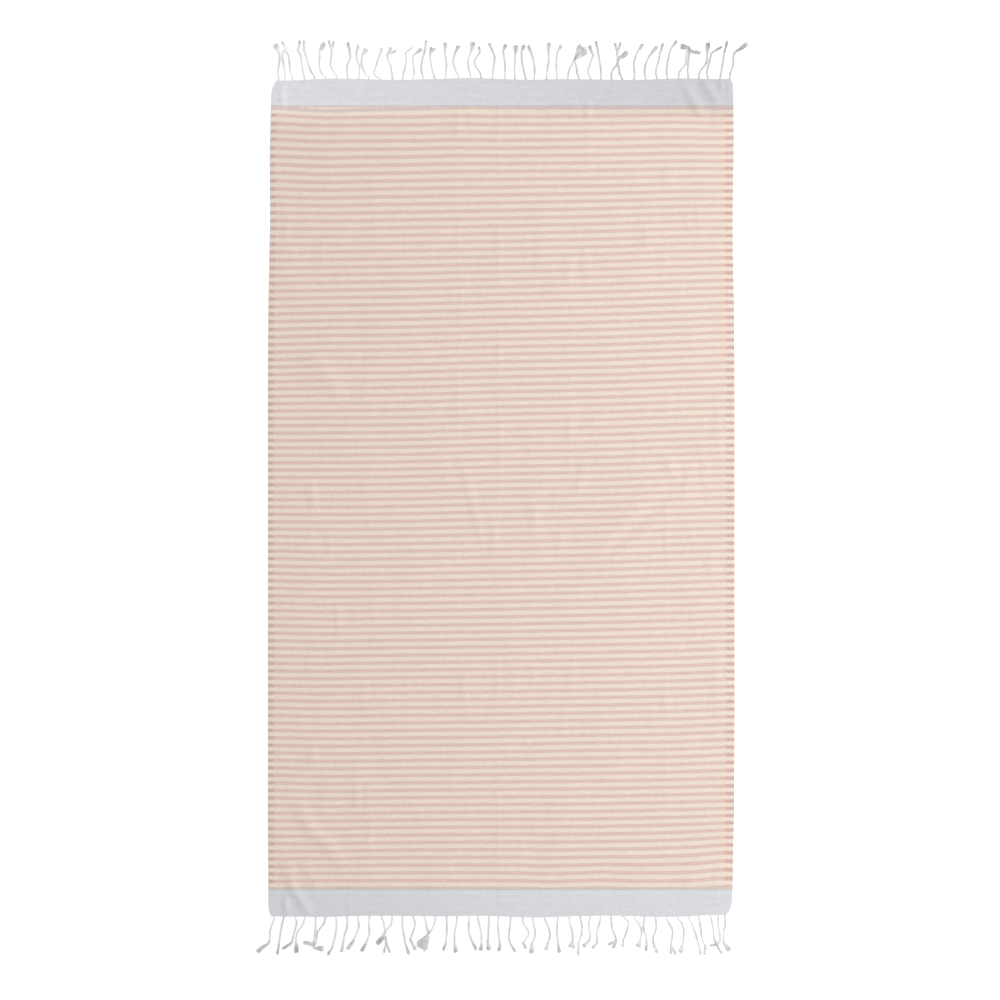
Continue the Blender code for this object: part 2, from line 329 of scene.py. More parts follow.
CREASES = (
    Crease(line=((-440, 320), (-384, 278), (-358, 241), (-342, 188)), height=2.0, reach=26),
    Crease(
        line=((-452, -615), (-425, -687), (-392, -726), (-350, -769), (-318, -808)),
        height=2.8,
        reach=25,
    ),
    Crease(line=((-472, -765), (-440, -850)), height=1.7, reach=20),
    Crease(line=((-428, -775), (-384, -860)), height=1.7, reach=20),
    Crease(line=((-88, 112), (-77, 48), (-64, -5), (-45, -80), (-36, -130)), height=1.4, reach=17),
    Crease(line=((-16, -35), (-16, -130)), height=1.2, reach=15),
    Crease(line=((70, 0), (70, -88)), height=1.4, reach=18),
    Crease(line=((124, -58), (125, -132)), height=1.0, reach=14),
    Crease(line=((190, 112), (170, 38), (158, -20)), height=1.2, reach=18),
    Crease(line=((150, 212), (146, 108)), height=0.7, reach=14),
    Crease(line=((345, 108), (365, 60), (384, 25)), height=1.4, reach=20),
    Crease(line=((402, 105), (400, -18)), height=1.2, reach=20),
    Crease(line=((400, 80), (280, -60), (175, -215)), height=2.6, reach=80),
    Crease(line=((378, 46), (352, -2), (312, -36), (246, -98), (205, -150)), height=-2.6, reach=24),
    Crease(line=((295, 108), (272, 30)), height=0.7, reach=18),
    Crease(line=((354, 245), (356, 172)), height=0.9, reach=14),
    Crease(line=((420, 150), (448, -8)), height=0.8, reach=18),
    Crease(line=((330, -98), (314, -160)), height=0.7, reach=16),
    Crease(line=((452, -80), (450, -190)), height=0.8, reach=18),
    Crease(line=((-411, 46), (-405, 5), (-402, -42)), height=1.9, reach=16),
    Crease(line=((-410, -58), (-408, -126)), height=0.9, reach=14),
    Crease(line=((-370, -66), (-368, -126)), height=1.2, reach=14),
    Crease(line=((-250, -46), (-252, -104)), height=0.7, reach=14),
    Crease(line=((-376, -206), (-374, -254)), height=0.9, reach=13),
    Crease(line=((-352, -212), (-348, -292)), height=1.4, reach=14),
    Crease(line=((-318, -212), (-316, -262)), height=0.6, reach=14),
    Crease(line=((-276, -212), (-274, -268)), height=0.6, reach=14),
    Crease(line=((-392, -285), (-405, -350), (-424, -392)), height=0.9, reach=20),
    Crease(line=((-294, -378), (-294, -470)), height=0.8, reach=14),
    Crease(line=((-80, -364), (-80, -442)), height=1.1, reach=14),
    Crease(line=((28, -346), (26, -446)), height=0.8, reach=15),
    Crease(line=((70, -342), (66, -414)), height=1.1, reach=14),
    Crease(line=((150, -336), (148, -436)), height=0.9, reach=16),
    Crease(line=((131, -444), (130, -524)), height=0.9, reach=13),
    Crease(line=((350, -358), (352, -484)), height=1.0, reach=15),
    Crease(line=((462, -304), (460, -480)), height=0.9, reach=17),
    Crease(line=((-408, -522), (-398, -580)), height=1.5, reach=16),
    Crease(line=((-312, -572), (-310, -684)), height=1.0, reach=15),
    Crease(line=((-286, -594), (-284, -802)), height=0.9, reach=15),
    Crease(line=((-128, -740), (-100, -830)), height=0.7, reach=16),
    Crease(line=((42, -730), (52, -812)), height=0.6, reach=16),
    Crease(line=((-392, 512), (-378, 556)), height=0.8, reach=15),
    Crease(line=((-384, 534), (-384, 486)), height=0.9, reach=12),
    Crease(line=((-463, 680), (-460, 505)), height=0.7, reach=15),
    Crease(line=((-488, 445), (-486, 360)), height=0.9, reach=14),
    Crease(line=((-346, 496), (-344, 448)), height=0.6, reach=15),
    Crease(line=((-254, 568), (-250, 505)), height=0.6, reach=15),
    Crease(line=((-94, 850), (-94, 764)), height=1.2, reach=17),
    Crease(line=((184, 862), (186, 806)), height=1.8, reach=13),
    Crease(line=((152, 848), (152, 806)), height=0.7, reach=12),
    Crease(line=((144, 540), (144, 450)), height=1.4, reach=17),
    Crease(line=((180, 560), (180, 462)), height=0.9, reach=13),
    Crease(line=((78, 545), (78, 478)), height=0.7, reach=14),
    Crease(line=((246, 588), (250, 520)), height=0.8, reach=15),
    Crease(line=((310, 588), (312, 520)), height=0.8, reach=15),
    Crease(line=((348, 560), (352, 470)), height=0.7, reach=15),
    Crease(line=((366, 735), (358, 650)), height=1.1, reach=24),
    Crease(line=((390, 632), (408, 565)), height=0.9, reach=16),
    Crease(line=((422, 640), (424, 525)), height=0.7, reach=17),
    Crease(line=((146, 378), (144, 305)), height=0.6, reach=14),
    Crease(line=((-132, 372), (-130, 325)), height=0.6, reach=14),
    Crease(line=((-244, 228), (-242, 175)), height=0.7, reach=15),
    Crease(line=((470, -765), (455, -855)), height=1.0, reach=16),
    Crease(line=((414, -800), (388, -858)), height=0.9, reach=14),
    Crease(line=((462, 230), (468, 60)), height=0.7, reach=15),
    Crease(line=((384, 896), (404, 862), (440, 806)), height=4.2, reach=14),
    Crease(line=((404, 930), (432, 892), (462, 855), (474, 832)), height=4.8, reach=13),
    Crease(line=((467, 918), (471, 893), (473, 866)), height=3.4, reach=10),
    Crease(line=((482, 912), (488, 890), (492, 866)), height=3.2, reach=10),
    Crease(line=((-474, 900), (-468, 826)), height=2.2, reach=13),
    Crease(line=((-464, -815), (-440, -850), (-402, -902)), height=4.4, reach=14),
    Crease(line=((-464, -846), (-460, -906)), height=3.0, reach=10),
)


class PressedFold(NamedTuple):
    """A stretch of a fold line that was pressed in along the warp, in mm."""

    across: float
    top: float
    foot: float
    height: float


PRESSED_FOLDS = (
    PressedFold(across=-6, top=870, foot=700, height=0.6),
    PressedFold(across=-6, top=610, foot=430, height=1.0),
    PressedFold(across=-6, top=400, foot=240, height=0.9),
    PressedFold(across=-5, top=260, foot=-60, height=0.8),
    PressedFold(across=-9, top=-320, foot=-460, height=0.9),
    PressedFold(across=-8, top=-540, foot=-860, height=0.6),
    PressedFold(across=-92, top=640, foot=440, height=0.6),
    PressedFold(across=-88, top=470, foot=300, height=0.5),
    PressedFold(across=-92, top=330, foot=90, height=0.5),
    PressedFold(across=-274, top=690, foot=590, height=0.5),
    PressedFold(across=-290, top=480, foot=140, height=0.25),
    PressedFold(across=144, top=300, foot=-60, height=0.4),
    PressedFold(across=354, top=20, foot=-180, height=0.9),
    PressedFold(across=354, top=-480, foot=-800, height=0.5),
)
PRESSED_REACH = 8
CREASE_FADE = 0.35


class Unevenness(NamedTuple):
    """Smooth noise in how the cloth lies: its height, the size of its swells, and which noise it is."""

    height: float
    across: float
    along: float
    layer: float


SWELLS = Unevenness(height=1.3 * MM, across=0.070, along=0.120, layer=1.5)
RIPPLES = Unevenness(height=0.42 * MM, across=0.012, along=0.027, layer=7.5)


class Strand(NamedTuple):
    """One strand of the fringe, in millimetres.

    root is its place along the cloth's end, from the middle. line holds points of the twisted cord up to
    its knot, each (sideways from the root, outwards from the end). The loose tuft runs from there to the tip
    and is as wide as tuft. fork is a second tip, and over says that the strand lies on top of its neighbour.
    """

    root: float
    line: tuple
    tip: tuple
    tuft: float
    fork: tuple = None
    over: bool = False


STRANDS = (
    Strand(root=-478, line=((-1, 19), (2, 40), (2, 58)), tip=(-9, 77), tuft=11),
    Strand(root=-464, line=((0, 19), (-3, 36), (-5, 52), (2, 63)), tip=(18, 66), tuft=5, over=True),
    Strand(root=-447, line=((-4, 15), (-7, 32), (-9, 51), (-12, 60)), tip=(-24, 82), tuft=6),
    Strand(root=-422, line=((-3, 15), (-5, 32), (-8, 49), (-14, 62)), tip=(-12, 83), tuft=6),
    Strand(root=-400, line=((-8, 15), (-14, 32), (-19, 49), (-23, 61)), tip=(-25, 82), tuft=5),
    Strand(root=-376, line=((-8, 10), (-13, 21), (-14, 40), (-13, 56)), tip=(-6, 77), tuft=10),
    Strand(
        root=-352,
        line=((-6, 13), (-14, 28), (-13, 45), (-11, 60)),
        tip=(-9, 80),
        tuft=5,
        fork=(-20, 81),
    ),
    Strand(root=-329, line=((-2, 15), (-1, 30), (5, 45), (4, 56)), tip=(-2, 77), tuft=6),
    Strand(root=-306, line=((2, 15), (2, 27), (-3, 40), (-5, 55)), tip=(-2, 73), tuft=6),
    Strand(root=-283, line=((-7, 10), (-14, 23), (-17, 36), (-15, 51)), tip=(-8, 66), tuft=12),
    Strand(root=-258, line=((-6, 4), (-14, 13), (-12, 24), (-8, 38), (-3, 52)), tip=(0, 67), tuft=5),
    Strand(root=-234, line=((-1, 15), (-4, 31), (-9, 43), (-11, 52)), tip=(-4, 69), tuft=6, fork=(6, 62)),
    Strand(root=-212, line=((2, 13), (6, 28), (8, 40), (7, 57)), tip=(19, 69), tuft=6),
    Strand(root=-190, line=((3, 13), (2, 28), (0, 40), (2, 51)), tip=(17, 66), tuft=9),
    Strand(root=-167, line=((-4, 15), (-5, 30), (-2, 45), (2, 58)), tip=(4, 83), tuft=6),
    Strand(root=-144, line=((-2, 13), (-6, 28), (-8, 45), (-8, 53)), tip=(-4, 67), tuft=16),
    Strand(root=-120, line=((1, 15), (2, 32), (0, 47), (-1, 60)), tip=(-2, 77), tuft=8),
    Strand(root=-91, line=((-4, 10), (-9, 21), (-12, 34), (-11, 45), (-8, 55)), tip=(-2, 70), tuft=8),
    Strand(root=-66, line=((-3, 15), (-6, 32), (-4, 43), (1, 55)), tip=(4, 77), tuft=11),
    Strand(root=-44, line=((-3, 13), (-11, 25), (-14, 36), (-9, 45), (-2, 54)), tip=(-6, 67), tuft=6),
    Strand(root=-19, line=((1, 15), (3, 32), (4, 46), (-1, 61)), tip=(-9, 76), tuft=5),
    Strand(root=7, line=((1, 19), (0, 36), (-2, 50), (-3, 60)), tip=(1, 74), tuft=8),
    Strand(root=28, line=((0, 19), (1, 36), (2, 55)), tip=(1, 73), tuft=10),
    Strand(root=52, line=((-2, 10), (-5, 23), (-8, 36), (-9, 58)), tip=(-5, 74), tuft=8),
    Strand(root=70, line=((1, 19), (0, 36), (-5, 53)), tip=(-14, 73), tuft=7),
    Strand(root=96, line=((2, 19), (5, 40), (5, 60)), tip=(4, 78), tuft=9),
    Strand(root=119, line=((-1, 19), (-1, 40), (1, 57)), tip=(8, 73), tuft=6),
    Strand(root=142, line=((1, 10), (4, 21), (11, 32), (17, 41)), tip=(38, 65), tuft=19, over=True),
    Strand(root=166, line=((-3, 10), (-5, 23), (-9, 39)), tip=(2, 73), tuft=13),
    Strand(root=191, line=((-4, 10), (-5, 20), (-1, 32), (5, 49)), tip=(-4, 73), tuft=7),
    Strand(root=213, line=((0, 19), (-2, 36), (-6, 58)), tip=(-12, 82), tuft=6),
    Strand(root=235, line=((0, 10), (4, 21), (13, 32), (17, 42)), tip=(34, 60), tuft=11, over=True),
    Strand(root=259, line=((-5, 10), (-7, 21), (-9, 34), (-11, 56)), tip=(-5, 79), tuft=5, fork=(-17, 78)),
    Strand(root=284, line=((1, 19), (0, 36), (3, 48), (8, 60)), tip=(18, 76), tuft=8),
    Strand(root=309, line=((-2, 12), (-2, 25), (2, 38), (8, 50)), tip=(23, 71), tuft=8),
    Strand(root=333, line=((-2, 10), (-1, 23), (4, 40), (7, 56)), tip=(12, 76), tuft=6),
    Strand(root=356, line=((-2, 10), (-1, 28), (2, 45), (7, 63)), tip=(18, 82), tuft=5),
    Strand(root=379, line=((2, 13), (9, 22), (16, 32), (18, 46), (21, 58)), tip=(47, 55), tuft=9, over=True),
    Strand(root=400, line=((-1, 15), (0, 32), (2, 47), (3, 65)), tip=(-17, 69), tuft=13),
    Strand(root=422, line=((2, 10), (6, 19), (14, 29), (18, 40), (19, 54)), tip=(20, 77), tuft=10),
    Strand(root=443, line=((-3, 10), (-1, 23), (3, 38), (7, 54)), tip=(27, 69), tuft=7),
    Strand(root=468, line=((3, 15), (6, 33), (10, 58)), tip=(15, 81), tuft=6),
    Strand(root=489, line=((1, 11), (5, 22), (8, 33), (8, 45), (10, 55)), tip=(37, 76), tuft=10),
)


def select_only(*pieces):
    """Deselects everything else and makes the first piece active."""
    bpy.ops.object.select_all(action="DESELECT")
    for piece in pieces:
        piece.select_set(True)
    bpy.context.view_layer.objects.active = pieces[0]


def apply_modifier(piece, kind, **settings):
    """Adds a modifier with these settings and applies it."""
    select_only(piece)
    modifier = piece.modifiers.new(kind.lower(), kind)
    for name, value in settings.items():
        setattr(modifier, name, value)
    bpy.ops.object.modifier_apply(modifier=modifier.name)


def smooth_step(t):
    """0 up to 0, 1 from 1 on, and smooth between."""
    t = np.clip(t, 0, 1)
    return t * t * (3 - 2 * t)


def smooth_between(at, places, rows):
    """Smooth values between rows that are given at rising places.

    at and every row are arrays of one length.
    """
    slopes = np.gradient(rows, places, axis=0)
    span = np.clip(np.searchsorted(places, at) - 1, 0, len(places) - 2)
    each = np.arange(len(at))
    width = places[span + 1] - places[span]
    t = np.clip((at - places[span]) / width, 0, 1)
    start, end = rows[span, each], rows[span + 1, each]
    leave, arrive = slopes[span, each] * width, slopes[span + 1, each] * width
    return (
        start * (2 * t**3 - 3 * t**2 + 1)
        + leave * (t**3 - 2 * t**2 + t)
        + end * (3 * t**2 - 2 * t**3)
        + arrive * (t**3 - t**2)
    )


def weft_shift(x, y):
    """How far each point of the flat cloth is shifted along it by the slant of its weft."""
    places = np.array([line.at for line in WEFT_LINES]) * MM
    columns = []
    for column in WEFT_LINES[0]._fields[1:]:
        shifts = np.array([getattr(line, column) for line in WEFT_LINES]) * MM
        columns.append(smooth_between(y, places, np.repeat(shifts[:, None], len(y), axis=1)))
    shift = smooth_between(x, np.array(WEFT_PLACES) * MM, np.array(columns))
    for push in WEFT_PUSHES:
        off_x = (x / MM - push.across) / push.reach_across
        off_y = (y / MM - push.along) / push.reach_along
        shift += push.shift * MM * np.exp(-off_x * off_x - off_y * off_y)
    return shift


def end_out(x):
    """How far the upper end's edge lies out of the straight, at each place across it."""
    places = np.array([place.across for place in END_PLACES]) * MM
    outs = np.array([place.out for place in END_PLACES]) * MM
    return smooth_between(x, places, np.repeat(outs[:, None], len(x), axis=1))


def along_shift(x, y):
    """The slant of the weft, which gives way to the wave of the edge close to each end."""
    upper, lower = end_out(x), 2 * END_CENTRE[1] - end_out(2 * END_CENTRE[0] - x)
    near_end = 1 - smooth_step((HALF_LENGTH - np.abs(y)) / END_REACH)
    slant = weft_shift(x, y)
    return slant + near_end * (np.where(y > 0, upper, lower) - slant)


def edge_inset(x, y):
    """How far the outline draws in from the half width, on the side and at the height of each point."""
    tight = x * y < 0
    pull, reach, taper = (np.where(tight, one, other) for one, other in zip(TIGHT_CORNER, EASY_CORNER))
    from_end = HALF_LENGTH - np.abs(y)
    inset = taper * (1 - smooth_step(from_end / TAPER_REACH)) + pull * np.exp(-from_end / reach)
    for waist in WAISTS:
        off = (y / MM - waist.at) / waist.reach
        inset += waist.pull * MM * (x * waist.side > 0) * np.exp(-off * off)
    return inset


def crest_height(line, height, reach, x, y):
    """The height of one ridge at every point, fading out towards both ends of its crest."""
    points = np.array(line, float) * MM
    lengths = np.hypot(*np.diff(points, axis=0).T)
    run = np.concatenate([[0], np.cumsum(lengths)])
    nearest = np.full(x.shape, np.inf)
    share = np.zeros(x.shape)
    for start, end, length, before in zip(points, points[1:], lengths, run):
        along = (end - start) / length
        away_x, away_y = x - start[0], y - start[1]
        walked = away_x * along[0] + away_y * along[1]
        kept = np.clip(walked, 0, length)
        distance = np.hypot(away_x - kept * along[0], away_y - kept * along[1])
        closer = distance < nearest
        nearest = np.where(closer, distance, nearest)
        share = np.where(closer, (before + kept) / run[-1], share)
    across = np.clip(nearest / (reach * MM), 0, 1)
    fade = smooth_step(share / CREASE_FADE) * smooth_step((1 - share) / CREASE_FADE)
    return height * MM * fade * (1 + np.cos(math.pi * across)) / 2


def slow_noise(x, y, kind):
    """Smooth noise from -1 to 1 of one kind of unevenness."""
    places = [Vector((a / kind.across, b / kind.along, kind.layer)) for a, b in zip(x, y)]
    return np.array([noise.noise(place) for place in places])


def lie_height(x, y):
    """How high the cloth lies at every point: its creases, its pressed folds and a slight unevenness."""
    height = np.zeros(x.shape)
    for crease in CREASES:
        height += crest_height(crease.line, crease.height, crease.reach, x, y)
    for fold in PRESSED_FOLDS:
        line = ((fold.across, fold.top), (fold.across, fold.foot))
        height += crest_height(line, fold.height, PRESSED_REACH, x, y)
    height += SWELLS.height * np.maximum(0, slow_noise(x, y, SWELLS))
    height += RIPPLES.height * (1 + slow_noise(x, y, RIPPLES))
    to_rim = np.minimum(HALF_WIDTH - np.abs(x), HALF_LENGTH - np.abs(y))
    return np.maximum(0, height) * smooth_step(AT_RIM + to_rim / RIM_REST)


def make_cloth():
    """The woven sheet. Its UV map is the flat cloth, so the stripes follow the weft."""
    bpy.ops.object.select_all(action="DESELECT")
    bpy.ops.mesh.primitive_grid_add(x_subdivisions=CELLS_ACROSS, y_subdivisions=CELLS_ALONG, size=1)
    cloth = bpy.context.object
    cloth.name = "towel_cloth"
    cloth.scale = (2 * HALF_WIDTH, 2 * HALF_LENGTH, 1)
    bpy.ops.object.transform_apply()
    mesh = cloth.data
    points = np.empty(len(mesh.vertices) * 3)
    mesh.vertices.foreach_get("co", points)
    points = points.reshape(-1, 3)
    x, y = points[:, 0].copy(), points[:, 1].copy()
    outwards = (np.abs(x) / HALF_WIDTH) ** 3
    points[:, 0] = x - np.sign(x) * outwards * edge_inset(x, y)
    points[:, 1] = y + along_shift(x, y)
    points[:, 2] = lie_height(points[:, 0], points[:, 1])
    mesh.vertices.foreach_set("co", points.ravel())
    mesh.update()
    apply_modifier(cloth, "SOLIDIFY", thickness=THICKNESS, offset=1)
    bpy.ops.object.shade_smooth_by_angle(angle=SHARP_RIM)
    return cloth


def strand_root(strand):
    """The place on the cloth's edge where a strand begins."""
    across = (strand.root + STRAND_ASIDE) * MM
    return Vector((across, HALF_LENGTH + end_out(np.array([across]))[0], 0))


def strand_points(strand):
    """The points of a strand's cord in metres, from just outside the cloth's edge to its knot."""
    root = strand_root(strand)
    aside, out = strand.line[0]
    at_root = (0, min(ROOT_OUT, ROOT_OUT_SHARE * out))
    near_root = (NEAR_ROOT_ASIDE_SHARE * aside, min(NEAR_ROOT_OUT, NEAR_ROOT_OUT_SHARE * out))
    flat = [at_root, near_root, *strand.line]
    points = [root + Vector((aside * MM, out * MM, CORD_HEIGHT)) for aside, out in flat]
    points[0].z *= ROOT_SHARE
    points[1].z *= NEAR_ROOT_SHARE
    if strand.over:
        points[-1].z += CROSSING_LIFT
        points[-2].z += CROSSING_LIFT / 2
    return points


def strand_curve(strand):
    """A smooth curve object through a strand's points."""
    curve = bpy.data.curves.new("strand_line", "CURVE")
    curve.dimensions = "3D"
    curve.twist_mode = "Z_UP"
    curve.resolution_u = CURVE_STEPS
    curve.use_radius = True
    spline = curve.splines.new("BEZIER")
    points = strand_points(strand)
    spline.bezier_points.add(len(points) - 1)
    for index, (point, place) in enumerate(zip(spline.bezier_points, points)):
        point.co = place
        point.handle_left_type = "AUTO"
        point.handle_right_type = "AUTO"
        point.radius = (ROOT_SHARE, NEAR_ROOT_SHARE)[index] if index < 2 else 1.0
    guide = bpy.data.objects.new("strand_line", curve)
    bpy.context.scene.collection.objects.link(guide)
    return guide


def straight_cord():
    """Two plies twisted about the X axis, modelled once. Each strand is a copy bent along its own line."""
    bpy.ops.object.select_all(action="DESELECT")
    plies = []
    for side in (1, -1):
        bpy.ops.mesh.primitive_circle_add(
            vertices=PLY_SIDES,
            radius=PLY_RADIUS,
            location=(0, side * PLY_OFFSET, 0),
            rotation=(0, math.pi / 2, 0),
        )
        bpy.ops.object.transform_apply()
        plies.append(bpy.context.object)
    select_only(*plies)
    bpy.ops.object.join()
    cord = bpy.context.object
    apply_modifier(
        cord,
        "SCREW",
        axis="X",
        angle=2 * math.pi * TWISTS,
        screw_offset=CORD_MODEL_LENGTH,
        steps=TWISTS * STEPS_A_TWIST,
        render_steps=TWISTS * STEPS_A_TWIST,
        use_smooth_shade=True,
    )
    bpy.ops.object.mode_set(mode="EDIT")
    bpy.ops.mesh.select_all(action="DESELECT")
    bpy.ops.mesh.select_mode(type="VERT")
    bpy.ops.mesh.select_non_manifold()
    bpy.ops.mesh.edge_face_add()
    bpy.ops.mesh.select_all(action="SELECT")
    bpy.ops.mesh.normals_make_consistent(inside=False)
    bpy.ops.object.mode_set(mode="OBJECT")
    return cord


def straight_knot():
    """Two tight wraps about the X axis, which close the cord before its tuft."""
    wraps = []
    for shift, lean in KNOT_WRAPS:
        bpy.ops.mesh.primitive_torus_add(
            major_segments=KNOT_STEPS,
            minor_segments=KNOT_SIDES,
            major_radius=KNOT_RADIUS,
            minor_radius=KNOT_STRAND,
            location=(shift, 0, 0),
            rotation=(0, math.pi / 2 + lean, 0),
        )
        bpy.ops.object.transform_apply()
        wraps.append(bpy.context.object)
    select_only(*wraps)
    bpy.ops.object.join()
    knot = bpy.context.object
    bpy.ops.object.shade_smooth()
    return knot


def own_copy(piece):
    """A copy of a piece with its own mesh."""
    copy = piece.copy()
    copy.data = piece.data.copy()
    bpy.context.scene.collection.objects.link(copy)
    return copy


def bent_cord(straight, strand):
    """A copy of the straight cord, laid along one strand's line."""
    guide = strand_curve(strand)
    length = guide.data.splines[0].calc_length()
    cord = own_copy(straight)
    cord.scale.x = length / CORD_MODEL_LENGTH
    select_only(cord)
    bpy.ops.object.transform_apply()
    apply_modifier(cord, "CURVE", object=guide, deform_axis="POS_X")
    bpy.data.objects.remove(guide)
    return cord


def placed_knot(straight, strand):
    """A copy of the knot at the end of a strand's cord, turned along it."""
    points = strand_points(strand)
    heading = points[-1] - points[-2]
    knot = own_copy(straight)
    knot.rotation_euler = (0, 0, math.atan2(heading.y, heading.x))
    knot.location = points[-1]
    knot.location.z = max(points[-1].z, KNOT_RADIUS + KNOT_STRAND)
    select_only(knot)
    bpy.ops.object.transform_apply()
    return knot


def add_thread(curve, points, girths, cotton):
    """One loose yarn as a smooth open spline of the curve, in the curve's material of this number."""
    spline = curve.splines.new("NURBS")
    spline.material_index = cotton
    spline.points.add(len(points) - 1)
    for point, place, girth in zip(spline.points, points, girths):
        point.co = (*place, 1)
        point.radius = girth
    spline.order_u = 3
    spline.use_endpoint_u = True
    spline.resolution_u = 2


def add_tuft(curve, strand, tip, width, draw):
    """The loose yarns of one tuft, which fan out from the knot and lie on the floor."""
    points = strand_points(strand)
    start = points[-1]
    heading = (points[-1] - points[-2]).to_2d().normalized()
    target = strand_root(strand).to_2d() + Vector(tip) * MM
    reach = (target - start.to_2d()).length
    towards = (target - start.to_2d()).normalized()
    aside = Vector((towards.y, -towards.x))
    opening = 1.0 if width > WIDEST_CLUB else CLUB_OPENING
    count = round(FEWEST_YARNS + YARNS_A_MM * width)
    for index in range(count):
        place = 2 * (index + 0.5) / count - 1
        long = reach * draw.uniform(*YARN_LENGTHS) * (1 - SIDE_YARNS_SHORTER * place * place)
        swing = draw.uniform(-YARN_SWING, YARN_SWING)
        level = THREAD_RADIUS * (1 + 2 * draw.choice(YARN_LEVELS))
        thread = []
        for share in YARN_PLACES:
            spread = place * width * MM / 2 * (AT_KNOT + (1 - AT_KNOT) * share**opening)
            bend = heading.lerp(towards, min(1, share * TURN_PACE)).normalized()
            sideways = spread + swing * math.sin(SWING_TURN * share + index)
            spot = start.to_2d() + bend * long * share + aside * sideways
            settled = smooth_step(share / SETTLED_AT)
            lift = start.z * (1 - settled) + level * settled
            jitter = draw.uniform(-YARN_JITTER, YARN_JITTER) * share
            thread.append((spot.x + jitter, spot.y - jitter, max(THREAD_RADIUS, lift)))
        add_thread(curve, thread, YARN_GIRTHS, TUFT_COTTON)


def add_gather(curve, strand, draw):
    """The warp ends that draw together from the cloth's edge into the root of a cord."""
    root = strand_root(strand)
    points = strand_points(strand)
    straight_reach = (points[2] - points[1]).length
    for index in range(GATHER_YARNS):
        place = 2 * (index + 0.5) / GATHER_YARNS - 1
        over = math.sqrt(1 - place * place)
        share = min(GATHER_LAST, draw.uniform(*GATHER_LENGTHS) / straight_reach)
        radius = CORD_HEIGHT * (NEAR_ROOT_SHARE + (1 - NEAR_ROOT_SHARE) * share)
        edge = root + Vector((place * GATHER_HALF_WIDTH, *GATHER_START))
        past_corner = max(0, abs(edge.x) - CORNER_ROOT)
        edge.x -= math.copysign(CORNER_SQUEEZE * past_corner, edge.x)
        half = edge.lerp(points[1], 0.5) + Vector((0, 0, GATHER_ARCH * over))
        end = points[1].lerp(points[2], share)
        end += Vector((ON_CORD * place * radius, 0, ON_CORD * over * radius))
        tuck = points[1].lerp(points[2], share + TUCK_LENGTH)
        tuck += Vector((TUCK_ASIDE * place * radius, 0, TUCK_UP * over * radius))
        add_thread(curve, (edge, half, end, tuck), GATHER_GIRTHS, CORD_COTTON)


def make_loose_yarns(draw, cottons):
    """All tufts and gathers of one fringe as a mesh, of these two cottons."""
    curve = bpy.data.curves.new("loose_yarns", "CURVE")
    curve.dimensions = "3D"
    curve.bevel_depth = THREAD_RADIUS
    curve.bevel_resolution = 0
    curve.use_fill_caps = True
    for cotton in cottons:
        curve.materials.append(cotton)
    for strand in STRANDS:
        add_tuft(curve, strand, strand.tip, strand.tuft, draw)
        if strand.fork:
            add_tuft(curve, strand, strand.fork, strand.tuft, draw)
        add_gather(curve, strand, draw)
    yarns = bpy.data.objects.new("loose_yarns", curve)
    bpy.context.scene.collection.objects.link(yarns)
    select_only(yarns)
    bpy.ops.object.convert(target="MESH")
    bpy.ops.object.mode_set(mode="EDIT")
    bpy.ops.mesh.select_all(action="SELECT")
    bpy.ops.mesh.remove_doubles(threshold=WELD)
    bpy.ops.object.mode_set(mode="OBJECT")
    bpy.ops.object.shade_smooth()
    return bpy.context.object


def make_fringes(cord_cotton, tuft_cotton_painted_darker):
    """The fringe of the upper end, and its copy turned half way round for the lower end."""
    cord, knot = straight_cord(), straight_knot()
    cord.data.materials.append(cord_cotton)
    knot.data.materials.append(cord_cotton)
    parts = [make_loose_yarns(random.Random(YARN_SEED), (tuft_cotton_painted_darker, cord_cotton))]
    for strand in STRANDS:
        parts.append(bent_cord(cord, strand))
        parts.append(placed_knot(knot, strand))
    for pattern in (cord, knot):
        bpy.data.objects.remove(pattern)
    select_only(*parts)
    bpy.ops.object.join()
    upper = bpy.context.object
    upper.name = "fringe_upper_strands"
    bpy.ops.object.transform_apply()
    lower = own_copy(upper)
    lower.name = "fringe_lower_strands"
    lower.rotation_euler.z = math.pi
    lower.location = (2 * END_CENTRE[0], 2 * END_CENTRE[1], 0)
    select_only(lower)
    bpy.ops.object.transform_apply()
    return upper, lower


